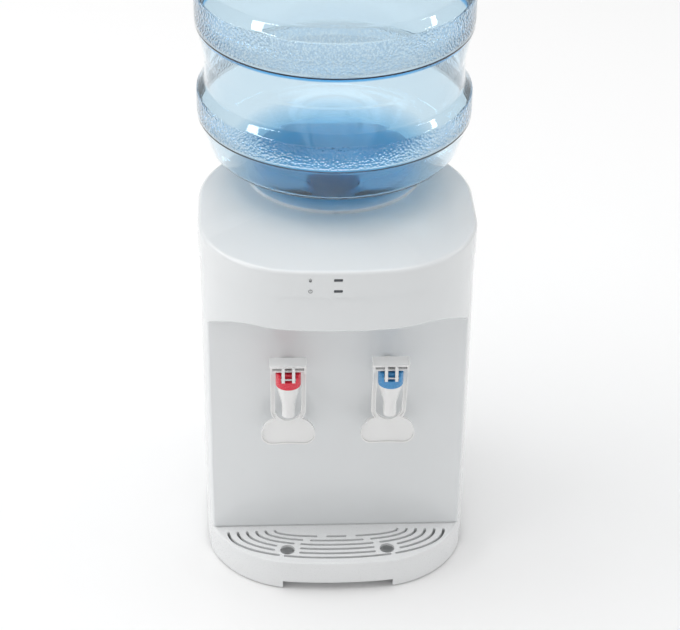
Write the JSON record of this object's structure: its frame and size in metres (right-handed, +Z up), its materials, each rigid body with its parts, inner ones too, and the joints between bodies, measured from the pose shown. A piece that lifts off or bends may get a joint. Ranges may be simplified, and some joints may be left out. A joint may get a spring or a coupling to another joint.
{
  "type": "countertop water dispenser",
  "caption": "White countertop water dispenser with a recessed front, hot and cold lever taps, a slide-out drip tray with a slotted grille, and an inverted ribbed blue bottle on top.",
  "frame": {"origin": "on the table plane, under the centre of the overall footprint (front of the case to back of the bottle)", "axes": "+Z up; -Y towards the person using the taps; +X to that person's right"},
  "size_m": [0.271, 0.332, 0.818],
  "materials": {
    "case_white": "glossy moulded",
    "tray_white": "satin moulded",
    "collar_white": "glossy moulded",
    "tap_white": "glossy moulded",
    "hot_red": "glossy moulded",
    "cold_blue": "glossy moulded",
    "stem_grey": "satin",
    "silicone": "matt silicone",
    "spring_steel": "bright drawn wire",
    "bottle_blue": "clear tinted polycarbonate",
    "tank_steel": "drawn stainless steel",
    "heater": "mica and steel band",
    "foam": "closed-cell foam",
    "reservoir_white": "natural moulded",
    "hose": "translucent silicone hose",
    "foot_rubber": "matt",
    "black_plastic": "satin",
    "rocker_red": "gloss",
    "drain_white": "satin",
    "board": "solder-masked laminate",
    "lens_grey": "smoked clear"
  },
  "bodies": {
    "case": {"base_pan": "case_white", "bottle_collar": "collar_white", "case_screws": "tank_steel", "cold_hose": "hose", "cold_tap_body": "tap_white", "cold_tap_cap": "cold_blue", "cold_tap_spring": "spring_steel", "control_board": "board", "cord_gland": "foot_rubber", "drain_hose": "hose", "drain_spout": "drain_white", "feed_hose": "hose", "front_housing": "case_white", "heater_band": "heater", "hot_hose": "hose", "hot_tank": "tank_steel", "hot_tap_body": "tap_white", "hot_tap_cap": "hot_red", "hot_tap_spring": "spring_steel", "led_lenses": "lens_grey", "lever_pins": "spring_steel", "rear_cover": "case_white", "reservoir": "reservoir_white", "reservoir_seal": "silicone", "reservoir_stand": "tank_steel", "rubber_feet": "foot_rubber", "switch_housing": "black_plastic", "tank_insulation": "foam", "tank_stand": "tank_steel", "tank_thermostats": "tank_steel", "tap_diaphragms": "silicone", "tap_gaskets": "silicone", "tap_nuts": "tap_white", "terminal_block": "black_plastic", "top_cover": "case_white", "vent_hose": "hose", "water_probe": "collar_white"},
    "tray": {"drip_tray": "tray_white"},
    "grille": {"drip_grille": "tray_white"},
    "hot_lever": {"hot_tap_lever": "tap_white"},
    "cold_lever": {"cold_tap_lever": "tap_white"},
    "hot_stem": {"hot_tap_stem": "stem_grey", "hot_valve_plug": "silicone"},
    "cold_stem": {"cold_tap_stem": "stem_grey", "cold_valve_plug": "silicone"},
    "bottle": {"bottle": "bottle_blue", "bottle_cap": "collar_white"},
    "rocker": {"heater_rocker": "rocker_red"},
    "drain_cap": {"drain_cap": "drain_white"},
    "drain_plug": {"drain_plug": "silicone"}
  },
  "joints": [
    {"name": "tray_slide", "type": "slide", "parent": "case", "child": "tray", "axis": [0, -1, 0], "range_m": [0, 0.08]},
    {"name": "grille_lift", "type": "slide", "parent": "tray", "child": "grille", "axis": [0, 0, 1], "range_m": [0, 0.03]},
    {"name": "hot_lever_press", "type": "hinge", "parent": "case", "child": "hot_lever", "pos_m": [-0.0496, -0.154, 0.256], "axis": [1, 0, 0], "range_deg": [0, 10], "stiffness_Nm_per_rad": 0.12, "springref_deg": -34.38},
    {"name": "cold_lever_press", "type": "hinge", "parent": "case", "child": "cold_lever", "pos_m": [0.0496, -0.154, 0.256], "axis": [1, 0, 0], "range_deg": [0, 10], "stiffness_Nm_per_rad": 0.12, "springref_deg": -34.38},
    {"name": "hot_stem_lift", "type": "slide", "parent": "case", "child": "hot_stem", "axis": [0, 0, 1], "range_m": [0, 0.0019], "deforming": ["hot_tap_spring"]},
    {"name": "cold_stem_lift", "type": "slide", "parent": "case", "child": "cold_stem", "axis": [0, 0, 1], "range_m": [0, 0.0019], "deforming": ["cold_tap_spring"]},
    {"name": "bottle_lift", "type": "slide", "parent": "case", "child": "bottle", "axis": [0, 0, 1], "range_m": [0, 0.09]},
    {"name": "heater_rocker_tip", "type": "hinge", "parent": "case", "child": "rocker", "pos_m": [0, 0.1296, 0.092], "axis": [1, 0, 0], "range_deg": [0, 14]},
    {"name": "drain_plug_pull", "type": "slide", "parent": "case", "child": "drain_plug", "axis": [0, 1, 0], "range_m": [0, 0.0062]},
    {"name": "drain_cap_turn", "type": "hinge", "parent": "drain_plug", "child": "drain_cap", "pos_m": [-0.016, 0.14, 0.032], "axis": [0, 1, 0], "range_deg": [0, 720]}
  ],
  "couplings": [
    {"joint": "hot_stem_lift", "follows": "hot_lever_press", "m_per_rad": 0.01},
    {"joint": "cold_stem_lift", "follows": "cold_lever_press", "m_per_rad": 0.01},
    {"joint": "drain_plug_pull", "follows": "drain_cap_turn", "m_per_rad": 0.000477}
  ]
}
